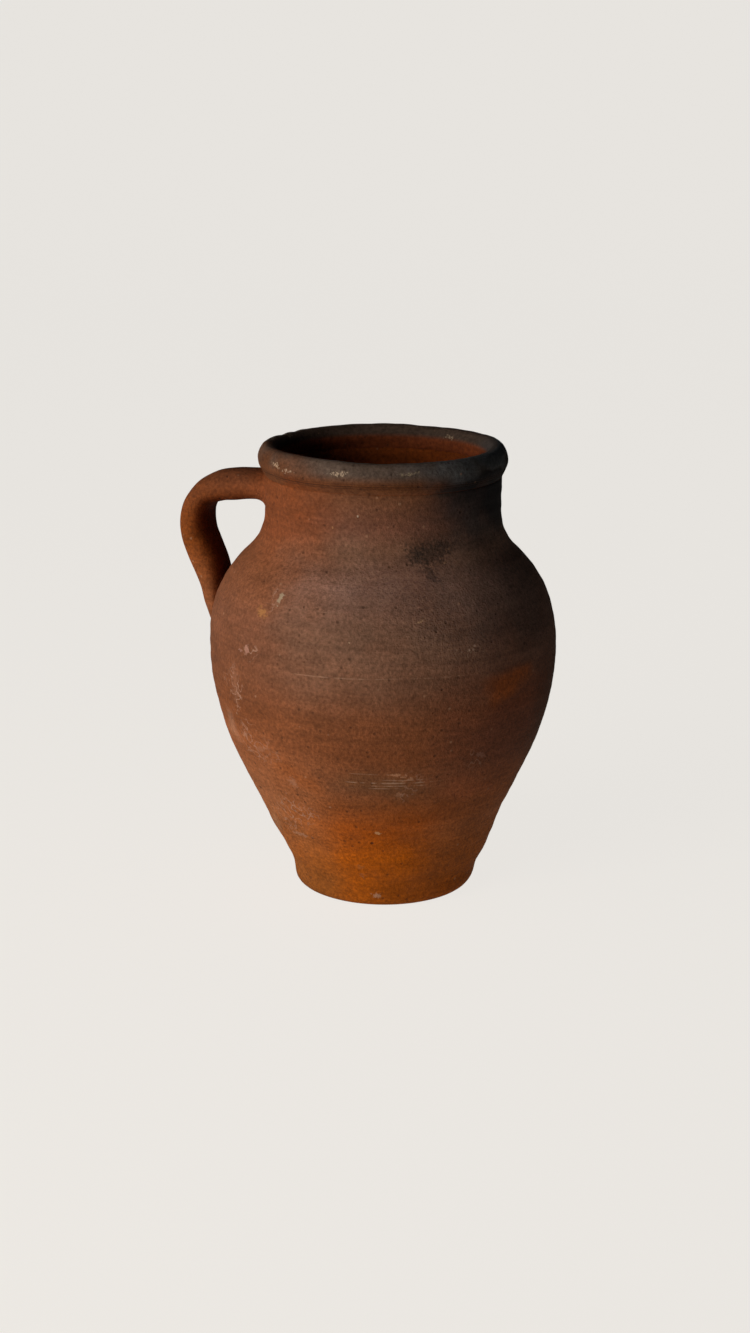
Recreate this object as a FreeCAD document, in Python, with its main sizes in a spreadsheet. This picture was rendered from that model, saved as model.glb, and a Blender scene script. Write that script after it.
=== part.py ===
import FreeCAD, Part

import math
import os
import re

import Sketcher

# One-handled earthenware jug, put together the way a potter does it: a wheel-thrown vessel, a rolled
# rim seated on its neck, a pulled strap handle, and clay worked round both ends of the handle to weld
# it to the wall. Frame: origin at the centre of the underside, +Z up the wheel axis, handle at -X.

Vector = FreeCAD.Vector
Rotation = FreeCAD.Rotation
Placement = FreeCAD.Placement
Constraint = Sketcher.Constraint
Y_AXIS = Vector(0, 1, 0)
Z_AXIS = Vector(0, 0, 1)

SHEET = "dims"

# alias, value in millimetres (or degrees where it says so), meaning
DIMENSIONS = [
    ("rest_radius", 47.5, "flat underside that the jug stands on"),
    ("foot_round", 7.5, "rounding between the underside and the foot"),
    ("foot_radius", 55.6, "foot band, at its top"),
    ("foot_height", 13.0, "foot band, its height"),
    ("belly_radius", 103.7, "widest part of the vessel"),
    ("belly_height", 151.3, "height of the widest part"),
    ("belly_arc", 154.0, "profile radius of the belly"),
    ("shoulder_arc", 70.0, "profile radius of the shoulder"),
    ("shoulder_centre", 155.0, "height of the shoulder arc's centre"),
    ("neck_arc", 31.0, "profile radius of the hollow under the neck"),
    ("neck_radius", 69.8, "outside of the neck"),
    ("wall", 7.0, "wall thickness from the floor's edge to the neck"),
    ("floor_thickness", 10.0, "clay under the cavity"),
    ("floor_radius", 25.0, "flat part of the cavity's floor"),
    ("floor_round", 24.0, "curve from the floor up into the wall, inside"),
    ("seat_outer", 252.6, "top edge of the neck, outside"),
    ("seat_inner", 256.6, "top edge of the neck, inside"),
    ("total_height", 270.0, "crest of the rim"),
    ("rim_radius", 73.4, "widest part of the rim"),
    ("rim_arc", 11.8, "profile radius of the rim's outer face"),
    ("crest_arc", 4.6, "profile radius over the rim's crest"),
    ("root_start", 60.0, "handle's first section, distance from the axis"),
    ("root_height", 240.4, "height of the handle where it leaves the neck"),
    ("bend_start", 95.5, "distance from the axis at which the handle starts to bend"),
    ("bend_arc", 22.0, "centre-line radius of the bend"),
    ("bend_angle", 107.0, "turn of the bend, in degrees"),
    ("drop_length", 24.0, "straight run below the bend"),
    ("strap_depth", 9.2, "handle, half its thickness"),
    ("strap_width", 15.0, "handle, half its width"),
    ("tail_distance", 105.6, "handle on the shoulder, distance from the axis"),
    ("tail_height", 168.0, "handle on the shoulder, height"),
    ("tail_depth", 5.6, "handle on the shoulder, half its thickness"),
    ("tail_turn", 94.0, "direction of the handle on the shoulder, in degrees of turn"),
    ("tip_distance", 100.4, "end of the handle on the belly, distance from the axis"),
    ("tip_height", 150.0, "end of the handle on the belly, height"),
    ("tip_depth", 2.6, "end of the handle on the belly, half its thickness"),
    ("tip_width", 12.5, "end of the handle on the belly, half its width"),
    ("tip_turn", 90.0, "direction of the handle's end, in degrees of turn"),
    ("weld_spread", 6.5, "upper weld, how far it spreads sideways over the neck"),
    ("weld_rise", 2.8, "upper weld, how far it spreads up and down the neck"),
    ("weld_length", 9.0, "upper weld, how far it reaches along the handle"),
    ("weld_lip", 0.4, "upper weld, its thickness where it ends on the handle"),
    ("pad_distance", 97.5, "lower weld, distance of its centre from the axis"),
    ("pad_height", 163.0, "lower weld, height of its centre"),
    ("pad_length", 30.0, "lower weld, half its length down the wall"),
    ("pad_depth", 9.0, "lower weld, half its thickness"),
    ("pad_width", 22.5, "lower weld, half its width"),
    ("pad_lean", 6.0, "lower weld, lean towards the axis, in degrees"),
]

SIZE = {alias: value for alias, value, meaning in DIMENSIONS}


def build_sheet(doc):
    """The spreadsheet that drives every size."""
    sheet = doc.addObject("Spreadsheet::Sheet", SHEET)
    for row, (alias, value, meaning) in enumerate(DIMENSIONS, start=1):
        sheet.set(f"A{row}", alias)
        sheet.set(f"B{row}", str(value))
        sheet.set(f"C{row}", meaning)
        sheet.setAlias(f"B{row}", alias)
    doc.recompute()


def cells(expression):
    """Lets an expression name the sheet's cells without the sheet: 'neck_radius - wall'."""
    return re.sub(
        "[a-z_]+", lambda word: f"{SHEET}.{word[0]}" if word[0] in SIZE else word[0], expression
    )


def new_sketch(body, name, plane):
    sketch = body.newObject("Sketcher::SketchObject", name)
    support = next(f for f in body.Origin.OriginFeatures if f.Role == plane)
    sketch.AttachmentSupport = [(support, "")]
    sketch.MapMode = "FlatFace"
    return sketch


class Outline:
    """A chain of lines and arcs in a sketch, each joined to the one before and bound to the sheet."""

    START, END, CENTRE = 1, 2, 3

    def __init__(self, sketch, start):
        self.sketch = sketch
        self.first = start
        self.here = start
        self.chain = []

    def constrain(self, *definition, expression=None):
        index = self.sketch.addConstraint(Constraint(*definition))
        if expression:
            self.sketch.setExpression(f"Constraints[{index}]", cells(expression))

    def place(self, index, vertex, x=None, y=None):
        """Binds a vertex's distance from the axis and its height."""
        point = self.sketch.getPoint(index, vertex)
        if x:
            self.constrain("DistanceX", -1, 1, index, vertex, point.x, expression=x)
        if y:
            self.constrain("DistanceY", -1, 1, index, vertex, point.y, expression=y)

    def join(self, geometry, begins, ends, to, smooth):
        index = self.sketch.addGeometry(geometry, False)
        if self.chain:
            last, last_end = self.chain[-1][0], self.chain[-1][2]
            self.constrain("Tangent" if smooth else "Coincident", last, last_end, index, begins)
        self.chain.append((index, begins, ends))
        self.here = to
        return index

    def line(self, to, smooth=False):
        segment = Part.LineSegment(Vector(*self.here, 0), Vector(*to, 0))
        return self.join(segment, self.START, self.END, to, smooth)

    def arc(self, to, centre, radius, smooth=True):
        """An arc to a point, about a centre; radius is the expression that gives its size."""
        rays = [(p[0] - centre[0], p[1] - centre[1]) for p in (self.here, to)]
        angles = [math.atan2(ray[1], ray[0]) % math.tau for ray in rays]
        anticlockwise = rays[0][0] * rays[1][1] > rays[0][1] * rays[1][0]
        low, high = angles if anticlockwise else reversed(angles)
        circle = Part.Circle(Vector(*centre, 0), Z_AXIS, math.dist(centre, to))
        arc = Part.ArcOfCircle(circle, low, high if high > low else high + math.tau)
        begins, ends = (self.START, self.END) if anticlockwise else (self.END, self.START)
        index = self.join(arc, begins, ends, to, smooth)
        self.constrain("Radius", index, math.dist(centre, to), expression=radius)
        return index

    def close(self, smooth=False):
        index = self.line(self.first, smooth)
        first, begins = self.chain[0][:2]
        self.constrain("Coincident", index, self.END, first, begins)
        return index


def towards(start, target, distance):
    """The point at a distance from start on the way to target, or beyond it."""
    share = distance / math.dist(start, target)
    return tuple(a + (b - a) * share for a, b in zip(start, target))


def common_tangent(first, first_radius, second, second_radius):
    """Where the line that touches two circles, on the right of the way between them, meets each."""
    across, up = (b - a for a, b in zip(first, second))
    swing = math.acos((first_radius - second_radius) / math.hypot(across, up))
    bearing = math.atan2(up, across) - swing
    normal = (math.cos(bearing), math.sin(bearing))
    return tuple(
        tuple(c + radius * n for c, n in zip(centre, normal))
        for centre, radius in ((first, first_radius), (second, second_radius))
    )


def arc_centres():
    """Centres of the belly, shoulder and neck arcs, which the wall's two faces share."""
    belly = (SIZE["belly_radius"] - SIZE["belly_arc"], SIZE["belly_height"])
    rise = SIZE["shoulder_centre"] - SIZE["belly_height"]
    reach = math.sqrt((SIZE["belly_arc"] - SIZE["shoulder_arc"]) ** 2 - rise**2)
    shoulder = (belly[0] + reach, SIZE["shoulder_centre"])
    neck_x = SIZE["neck_radius"] + SIZE["neck_arc"]
    span = SIZE["shoulder_arc"] + SIZE["neck_arc"]
    neck = (neck_x, shoulder[1] + math.sqrt(span**2 - (neck_x - shoulder[0]) ** 2))
    return belly, shoulder, neck


def draw_wall(outline, start, start_radius, inset, top, smooth):
    """One face of the wall: straight flank, belly, shoulder, neck hollow and neck.

    start is the circle that the flank leaves, inset the depth below the outer face, and top the cell
    with the height at which the neck ends."""
    belly, shoulder, neck = arc_centres()
    depth = SIZE[inset] if inset else 0
    less = f" - {inset}" if inset else ""
    more = f" + {inset}" if inset else ""
    flank_end = common_tangent(start, start_radius, belly, SIZE["belly_arc"] - depth)[1]
    outline.line(flank_end, smooth)
    belly_end = towards(belly, shoulder, SIZE["belly_arc"] - depth)
    belly_face = outline.arc(belly_end, belly, "belly_arc" + less)
    shoulder_end = towards(shoulder, neck, SIZE["shoulder_arc"] - depth)
    shoulder_face = outline.arc(shoulder_end, shoulder, "shoulder_arc" + less)
    neck_x = SIZE["neck_radius"] - depth
    outline.arc((neck_x, neck[1]), neck, "neck_arc" + more)
    neck_line = outline.line((neck_x, SIZE[top]), smooth=True)
    outline.place(belly_face, Outline.CENTRE, "belly_radius - belly_arc", "belly_height")
    outline.place(shoulder_face, Outline.CENTRE, y="shoulder_centre")
    outline.constrain("Vertical", neck_line)
    outline.place(neck_line, Outline.END, "neck_radius" + less, top)


def close_on_axis(outline, floor, lid):
    """Closes a half-section along the wheel axis, between its level floor and its level lid."""
    outline.close()
    for level in (floor, lid):
        outline.constrain("Horizontal", level)
    outline.constrain("PointOnObject", floor, Outline.START, -2)
    outline.constrain("PointOnObject", lid, Outline.END, -2)


def revolve(body, sketch):
    """A full turn about the wheel axis."""
    revolution = body.newObject("PartDesign::Revolution", sketch.Name + "_turn")
    revolution.Profile = sketch
    revolution.ReferenceAxis = (sketch, ["V_Axis"])
    revolution.Angle = 360
    return revolution


def build_envelope(doc):
    """The vessel as it would be if it weren't hollow, up to the bevelled top edge of the neck."""
    body = doc.addObject("PartDesign::Body", "envelope")
    sketch = new_sketch(body, "envelope_outline", "XZ_Plane")
    foot_centre = (SIZE["rest_radius"], SIZE["foot_round"])
    foot_top = (SIZE["foot_radius"], SIZE["foot_height"])
    outline = Outline(sketch, (0, 0))
    floor = outline.line((SIZE["rest_radius"], 0))
    band_start = common_tangent(foot_centre, SIZE["foot_round"], foot_top, 0)[0]
    outline.arc(band_start, foot_centre, "foot_round")
    band = outline.line(foot_top, smooth=True)
    draw_wall(outline, foot_top, 0, None, "seat_outer", smooth=False)
    bevel = outline.line((SIZE["neck_radius"] - SIZE["wall"], SIZE["seat_inner"]))
    lid = outline.line((0, SIZE["seat_inner"]))
    close_on_axis(outline, floor, lid)
    outline.constrain("PointOnObject", floor, Outline.START, -1)
    outline.place(floor, Outline.END, x="rest_radius")
    outline.place(band, Outline.END, "foot_radius", "foot_height")
    outline.place(bevel, Outline.END, "neck_radius - wall", "seat_inner")
    revolve(body, sketch)
    return body


def build_cavity(doc):
    """The space inside the vessel, run on through the mouth."""
    body = doc.addObject("PartDesign::Body", "cavity")
    sketch = new_sketch(body, "cavity_outline", "XZ_Plane")
    round_centre = (SIZE["floor_radius"], SIZE["floor_thickness"] + SIZE["floor_round"])
    belly = arc_centres()[0]
    flank_start = common_tangent(
        round_centre, SIZE["floor_round"], belly, SIZE["belly_arc"] - SIZE["wall"]
    )[0]
    outline = Outline(sketch, (0, SIZE["floor_thickness"]))
    floor = outline.line((SIZE["floor_radius"], SIZE["floor_thickness"]))
    outline.arc(flank_start, round_centre, "floor_round")
    draw_wall(outline, round_centre, SIZE["floor_round"], "wall", "total_height", smooth=True)
    lid = outline.line((0, SIZE["total_height"]))
    close_on_axis(outline, floor, lid)
    outline.place(floor, Outline.END, "floor_radius", "floor_thickness")
    revolve(body, sketch)
    return body


def build_rim(doc):
    """The rolled rim: a ring seated on the neck's bevel, level with the inside of the neck."""
    body = doc.addObject("PartDesign::Body", "rim")
    sketch = new_sketch(body, "rim_outline", "XZ_Plane")
    neck, throat = SIZE["neck_radius"], SIZE["neck_radius"] - SIZE["wall"]
    face_x = SIZE["rim_radius"] - SIZE["rim_arc"]
    face_y = SIZE["seat_outer"] + math.sqrt(SIZE["rim_arc"] ** 2 - (neck - face_x) ** 2)
    face = (face_x, face_y)
    crest = (throat + SIZE["crest_arc"], SIZE["total_height"] - SIZE["crest_arc"])
    shoulder = towards(face, crest, SIZE["rim_arc"])
    outline = Outline(sketch, (throat, SIZE["seat_inner"]))
    seat = outline.line((neck, SIZE["seat_outer"]))
    outer_face = outline.arc(shoulder, face, "rim_arc", smooth=False)
    crest_face = outline.arc((throat, crest[1]), crest, "crest_arc", smooth=False)
    throat_line = outline.close(smooth=True)
    outline.place(seat, Outline.START, "neck_radius - wall", "seat_inner")
    outline.place(seat, Outline.END, "neck_radius", "seat_outer")
    outline.place(outer_face, Outline.CENTRE, x="rim_radius - rim_arc")
    outline.place(crest_face, Outline.CENTRE, y="total_height - crest_arc")
    outline.constrain("Vertical", throat_line)
    revolve(body, sketch)
    return body


def strap_section(body, name, half_depth, half_width, distance, height, turn):
    """An elliptical section across the handle's run; every argument is an expression.

    turn is the handle's direction there: 0 straight out from the neck, 90 straight down."""
    sketch = new_sketch(body, name, "XY_Plane")
    sketch.AttachmentOffset = Placement(Vector(), Rotation(Y_AXIS, -90))
    sketch.setExpression("AttachmentOffset.Base.x", cells(f"-1mm * ({distance})"))
    sketch.setExpression("AttachmentOffset.Base.z", cells(f"1mm * ({height})"))
    sketch.setExpression("AttachmentOffset.Rotation.Angle", cells(f"-90deg - 1deg * ({turn})"))
    depth, width = SIZE["strap_depth"], SIZE["strap_width"]
    ellipse = Part.Ellipse(Vector(0, width, 0), Vector(-depth, 0, 0), Vector())
    sketch.addGeometry(ellipse, False)
    sketch.exposeInternalGeometry(0)
    sketch.addConstraint(Constraint("Coincident", 0, 3, -1, 1))
    sketch.addConstraint(Constraint("Vertical", 1))
    for index, size, expression in ((1, width, half_width), (2, depth, half_depth)):
        constraint = sketch.addConstraint(Constraint("Distance", index, 2 * size))
        sketch.setExpression(f"Constraints[{constraint}]", cells(f"2 * ({expression})"))
    return sketch


def loft(body, sections):
    feature = body.newObject("PartDesign::AdditiveLoft", body.Name + "_loft")
    feature.Profile = sections[0]
    feature.Sections = sections[1:]
    return feature


def bend_point(drop=""):
    """Expressions for the end of the bend, or of the drop below it: distance from the axis, height."""
    turned = "(bend_angle * 1deg)"
    distance = f"bend_start + bend_arc * sin{turned}"
    height = f"root_height - bend_arc * (1 - cos{turned})"
    if drop:
        return f"{distance} + {drop} * cos{turned}", f"{height} - {drop} * sin{turned}"
    return distance, height


def draw_spine(body):
    """The handle's centre line: level out from the neck, round the bend, and straight down."""
    start, height, arc = SIZE["bend_start"], SIZE["root_height"], SIZE["bend_arc"]
    turn = math.radians(SIZE["bend_angle"])
    bend_end = (-start - arc * math.sin(turn), height - arc * (1 - math.cos(turn)))
    drop = (-SIZE["drop_length"] * math.cos(turn), -SIZE["drop_length"] * math.sin(turn))
    outline = Outline(new_sketch(body, "strap_spine", "XZ_Plane"), (-SIZE["root_start"], height))
    level = outline.line((-start, height))
    outline.arc(bend_end, (-start, height - arc), "bend_arc")
    down = outline.line(tuple(a + b for a, b in zip(bend_end, drop)), smooth=True)
    outline.constrain("Horizontal", level)
    outline.place(level, Outline.START, "-root_start", "root_height")
    outline.place(level, Outline.END, "-bend_start")
    distance, low = bend_point("drop_length")
    outline.place(down, Outline.END, f"-1 * ({distance})", low)
    return outline.sketch


def build_strap(doc):
    """The pulled handle before it meets the wall: swept to the shoulder, then thinned to its tip."""
    body = doc.addObject("PartDesign::Body", "strap")
    strap = ("strap_depth", "strap_width")
    spine = draw_spine(body)
    root = strap_section(body, "strap_root", *strap, "root_start", "root_height", "0")
    sweep = body.newObject("PartDesign::AdditivePipe", "strap_sweep")
    sweep.Profile = root
    sweep.Spine = (spine, ["Edge1", "Edge2", "Edge3"])
    tail = [
        strap_section(body, "strap_drop", *strap, *bend_point("drop_length"), "bend_angle"),
        strap_section(
            body, "strap_tail", "tail_depth", "strap_width", "tail_distance", "tail_height", "tail_turn"
        ),
        strap_section(
            body, "strap_tip", "tip_depth", "tip_width", "tip_distance", "tip_height", "tip_turn"
        ),
    ]
    loft(body, tail)
    return body


def build_upper_weld(doc):
    """Clay worked round the handle where it leaves the neck: a collar that flares onto the wall."""
    body = doc.addObject("PartDesign::Body", "collar")
    shares = ((0, 1), (0.4, 0.35), (1, 0))
    sections = [
        strap_section(
            body,
            f"collar_{number}",
            f"strap_depth + weld_lip + (weld_rise - weld_lip) * {flare}",
            f"strap_width + weld_lip + (weld_spread - weld_lip) * {flare}",
            f"neck_radius - wall / 2 + (weld_length + wall / 2) * {along}",
            "root_height",
            "0",
        )
        for number, (along, flare) in enumerate(shares)
    ]
    loft(body, sections)
    return body


def build_lower_weld(doc):
    """Clay smeared round the end of the handle on the shoulder: a flat pad that fades into the wall."""
    pad = doc.addObject("Part::Ellipsoid", "pad")
    for attribute, alias in (("Radius1", "length"), ("Radius2", "depth"), ("Radius3", "width")):
        pad.setExpression(attribute, cells(f"pad_{alias}"))
    pad.Placement = Placement(Vector(), Rotation(Y_AXIS, 1))
    pad.setExpression("Placement.Base.x", cells("-1mm * pad_distance"))
    pad.setExpression("Placement.Base.z", cells("1mm * pad_height"))
    pad.setExpression("Placement.Rotation.Angle", cells("1deg * pad_lean"))
    return pad


def cut(doc, name, base, *tools):
    """base less every tool; the last cut carries the name."""
    for number, tool in enumerate(tools, start=1):
        last = number == len(tools)
        result = doc.addObject("Part::Cut", name if last else f"{name}_cut_{number}")
        result.Base = base
        result.Tool = tool
        base = result
    return base


def build(doc):
    """Every sub-part, by the name of its node."""
    build_sheet(doc)
    envelope = build_envelope(doc)
    strap = build_strap(doc)
    return {
        "thrown_body": cut(doc, "vessel", envelope, build_cavity(doc)),
        "rim_roll": build_rim(doc),
        "strap_handle": cut(doc, "handle", strap, envelope),
        "upper_handle_weld": cut(doc, "upper_weld", build_upper_weld(doc), strap, envelope),
        "lower_handle_weld": cut(doc, "lower_weld", build_lower_weld(doc), strap, envelope),
    }


def check(doc, parts):
    """Stops at any object that failed to build and any sub-part that isn't one valid solid."""
    for item in doc.Objects:
        if "Invalid" in item.State or "Error" in item.State:
            raise RuntimeError(f"{item.Name} did not build")
    for name, part in parts.items():
        shape = part.Shape
        if shape.isNull() or not shape.isValid() or len(shape.Solids) != 1:
            raise RuntimeError(f"{name} is not one valid solid")


def main():
    doc = FreeCAD.newDocument("jug")
    parts = build(doc)
    for name, part in parts.items():
        part.Label = name
    doc.recompute()
    check(doc, parts)
    os.makedirs("parts", exist_ok=True)
    for name, part in parts.items():
        part.Shape.exportStep(f"parts/{name}.step")
        print(f"{name}: {part.Shape.Volume / 1000:.1f} cm3, {part.Shape.BoundBox}")


main()
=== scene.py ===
"""A one-handled earthenware jug: thrown on the wheel, smoked dark on one side in the kiln."""

import math

import bpy
import numpy as np
from mathutils import Matrix, Vector


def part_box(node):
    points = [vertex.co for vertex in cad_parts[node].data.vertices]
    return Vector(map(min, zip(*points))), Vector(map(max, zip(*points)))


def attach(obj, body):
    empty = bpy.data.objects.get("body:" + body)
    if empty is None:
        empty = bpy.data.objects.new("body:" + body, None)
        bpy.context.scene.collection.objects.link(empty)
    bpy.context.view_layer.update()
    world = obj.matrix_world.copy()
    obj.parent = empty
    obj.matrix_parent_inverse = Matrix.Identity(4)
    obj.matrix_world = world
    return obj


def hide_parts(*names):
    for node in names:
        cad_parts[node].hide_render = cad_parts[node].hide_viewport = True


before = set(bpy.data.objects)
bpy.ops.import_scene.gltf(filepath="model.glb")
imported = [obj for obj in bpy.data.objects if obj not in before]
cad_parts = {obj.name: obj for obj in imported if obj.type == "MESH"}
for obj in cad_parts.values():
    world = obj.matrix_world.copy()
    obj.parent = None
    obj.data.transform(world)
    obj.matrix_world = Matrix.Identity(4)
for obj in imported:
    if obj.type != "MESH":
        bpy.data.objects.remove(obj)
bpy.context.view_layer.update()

MM = 0.001
CAMERA_TURN = math.radians(18)      # the camera stands this far round from the jug's front
LEAN, LEAN_HEIGHT = -0.0061, 0.134  # shift to the camera's right for each metre above the height that stays
COLUMNS = 400                       # mesh columns round the jug


# ---------------------------------------------------------------- turned profiles

def facing_vertices(node, keep):
    """(radius, height) pairs of a turned CAD node's vertices, from the faces that keep() picks."""
    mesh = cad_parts[node].data
    found = set()
    for face in mesh.polygons:
        middle, normal = face.center, face.normal
        outward = (middle.x * normal.x + middle.y * normal.y) / max(math.hypot(middle.x, middle.y), 1e-6)
        if keep(outward, normal.z, middle.z):
            for index in face.vertices:
                at = mesh.vertices[index].co
                found.add((round(math.hypot(at.x, at.y), 5), round(at.z, 5)))
    return found


def smooth_line(points, samples, closed=False):
    """Evenly spaced points on a smooth line through the given ones."""
    points = np.asarray(points, float)
    if closed:
        points = np.vstack([points[-3:], points, points[:3]])
    steps = np.linalg.norm(np.diff(points, axis=0), axis=1)
    reach = np.concatenate([[0], np.cumsum(steps)])
    slope = np.gradient(points, reach, axis=0)
    ends = (reach[3], reach[-3]) if closed else (0, reach[-1])
    at = np.linspace(*ends, samples, endpoint=not closed)
    k = np.clip(np.searchsorted(reach, at, side="right") - 1, 0, len(reach) - 2)
    span = (reach[k + 1] - reach[k])[:, None]
    u = (at - reach[k])[:, None] / span
    return ((2 * u**3 - 3 * u**2 + 1) * points[k] + (u**3 - 2 * u**2 + u) * span * slope[k]
            + (3 * u**2 - 2 * u**3) * points[k + 1] + (u**3 - u**2) * span * slope[k + 1])


NECK_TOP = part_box("rim_roll")[0].z


def outer_side(outward, up, height):
    """Picks the thrown body's outside and underside, without the seat that the rim sits on."""
    return (outward > 0.02 or (up < -0.5 and height < MM)) and not (height > NECK_TOP - MM and up > 0.6)


def inner_side(outward, up, height):
    """Picks the thrown body's hollow."""
    return outward < -0.02 or (up > 0.5 and height < 0.1)


def upward(points):
    """The points in order from the axis outwards and up, with more of them across the flat at the start."""
    line = np.array(sorted(points, key=lambda p: (p[1], p[0])))
    flat = line[:, 1] < line[0, 1] + 1e-5
    edge = line[flat, 0].max()
    kept = [(edge * share, line[0, 1]) for share in np.linspace(0, 1, 12)]
    for point in line[~flat]:
        if math.dist(point, kept[-1]) > 1.2 * MM:
            kept.append(tuple(point))
    return np.array(kept)


OUTSIDE_SAMPLES, INSIDE_SAMPLES = 182, 58
OUTER = upward(facing_vertices("thrown_body", outer_side))
INNER = upward(facing_vertices("thrown_body", inner_side))
OUTER_FINE = smooth_line(OUTER, 1500)


def outer_radius(height):
    """The plain turned outside's radius at a height."""
    wall = OUTER_FINE[OUTER_FINE[:, 1] > 1e-5]
    return np.interp(height, wall[:, 1], wall[:, 0])


# ---------------------------------------------------------------- what the potter's hands left

def waves(turn, height, seed, count, crests, length):
    """Irregular smooth waves from about -1 to 1: at most that many crests round, at least that length up."""
    rng = np.random.default_rng(seed)
    total = 0
    for _ in range(count):
        around = rng.integers(0, crests + 1)
        rise = rng.uniform(-1, 1) / length
        total = total + np.sin(around * turn + 2 * math.pi * rise * height + rng.uniform(0, 2 * math.pi))
    return total / math.sqrt(count)


def dents(turn, height, places):
    """Soft bumps and hollows: (degrees from the camera's side, height, width in degrees, tallness, rise)."""
    total = 0
    for degrees, at, width, tall, rise in places:
        middle = math.radians(degrees) + CAMERA_TURN
        apart = np.degrees(np.abs(np.angle(np.exp(1j * (turn - middle)))))
        total = total + rise * np.exp(-((apart / width) ** 2) - ((height - at) / tall) ** 2)
    return total


WALL_DENTS = [
    (90, 0.032, 45, 0.012, 0.8 * MM), (90, 0.052, 40, 0.006, -0.5 * MM), (88, 0.172, 40, 0.012, -0.5 * MM),
    (-90, 0.082, 45, 0.022, 0.5 * MM), (-80, 0.040, 30, 0.006, 0.5 * MM), (-88, 0.005, 50, 0.006, -0.6 * MM),
    (-90, 0.021, 50, 0.015, -1.7 * MM), (90, 0.020, 50, 0.014, 0.9 * MM),
    (20, 0.120, 30, 0.020, -0.5 * MM), (-30, 0.205, 25, 0.014, 0.4 * MM), (60, 0.090, 22, 0.016, 0.4 * MM),
    (150, 0.120, 35, 0.025, -0.6 * MM), (-160, 0.070, 28, 0.020, 0.5 * MM),
]


FOOT_FILL = 0.8 * MM                # the foot is fuller than the plain profile, round one height
FOOT_FILL_HEIGHT, FOOT_FILL_REACH = 0.017, 0.009


def outer_relief(turn, height):
    """How far the outside stands off the plain turned shape: rings, hand marks and dents."""
    coil = np.sin(2 * math.pi * height / 0.0098 + turn + 1.4 * waves(turn, height, 5, 4, 2, 0.12))
    finer = np.sin(2 * math.pi * height / 0.0047 + turn + 1.8 * waves(turn, height, 6, 4, 2, 0.08))
    strength = 0.6 + 0.4 * waves(turn, height, 7, 4, 2, 0.09)
    return (0.34 * MM * waves(turn, height, 11, 5, 3, 0.22)
            + 0.10 * MM * coil * strength + 0.03 * MM * finer
            + 0.14 * MM * waves(turn, height, 12, 16, 8, 0.030)
            + 0.05 * MM * waves(turn, height, 13, 24, 16, 0.007)
            + FOOT_FILL * np.exp(-((height - FOOT_FILL_HEIGHT) / FOOT_FILL_REACH) ** 2)
            + dents(turn, height, WALL_DENTS))


def inner_relief(turn, height):
    """Deeper throwing ridges, drawn up inside by the fingers."""
    coil = np.sin(2 * math.pi * height / 0.0092 + turn + 1.2 * waves(turn, height, 21, 4, 3, 0.07))
    return (0.42 * MM * coil + 0.30 * MM * waves(turn, height, 22, 14, 7, 0.02)
            + 0.12 * MM * waves(turn, height, 23, 20, 14, 0.008))


def wall_radius(turn, height):
    return outer_radius(height) + outer_relief(turn, height)


def spot(turn, radius, height):
    """Points at a turn, a radius and a height: turn 0 faces -Y and grows towards +X."""
    return np.stack(np.broadcast_arrays(radius * np.sin(turn), -radius * np.cos(turn), height), axis=-1)


def turn_of(points):
    return np.arctan2(points[..., 0], -points[..., 1])


def settle(points):
    """The whole jug leans a little: its top to the camera's left, its foot to the right."""
    moved = np.array(points, float)
    shift = LEAN * (moved[..., 2] - LEAN_HEIGHT)
    moved[..., 0] += shift * math.cos(CAMERA_TURN)
    moved[..., 1] += shift * math.sin(CAMERA_TURN)
    return moved


# ---------------------------------------------------------------- meshes

def make_piece(name, grid, looped=False, ends=()):
    """A closed mesh over a grid [row, column, xyz] that meets itself across its columns.
    looped joins the last row to the first; ends are the two points that close it otherwise."""
    rows, columns = grid.shape[:2]
    index = np.arange(rows * columns).reshape(rows, columns)
    if looped:
        index = np.vstack([index, index[:1]])
    right = np.roll(index, -1, axis=1)
    faces = np.stack([index[:-1], right[:-1], right[1:], index[1:]], axis=-1).reshape(-1, 4)
    points = grid.reshape(-1, 3)
    a, b, c, d = (points[faces[:, i]] for i in range(4))
    volume = np.einsum("ij,ij->", np.cross(b - a, c - a), a) + np.einsum("ij,ij->", np.cross(c - a, d - a), a)
    quads = faces if volume > 0 else faces[:, ::-1]
    listed = quads.tolist()
    if len(ends):
        points = np.vstack([points, ends])
        for k, (row, flip) in enumerate(((0, volume > 0), (rows - 1, volume <= 0))):
            tip, ring = rows * columns + k, index[row]
            around = np.roll(ring, -1)
            pair = (around, ring) if flip else (ring, around)
            listed += [[int(p), int(q), tip] for p, q in zip(*pair)]
    mesh = bpy.data.meshes.new(name)
    mesh.from_pydata(settle(points).tolist(), [], listed)
    mesh.shade_smooth()
    mesh.update()
    piece = bpy.data.objects.new(name, mesh)
    bpy.context.scene.collection.objects.link(piece)
    return piece


TURNS = np.arange(COLUMNS) * (2 * math.pi / COLUMNS)
FOOT_HOLLOW = 1.1 * MM              # the underside is pushed up this much at its middle
HOLLOW_RADIUS = 0.041               # and the hollow reaches this far out


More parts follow.
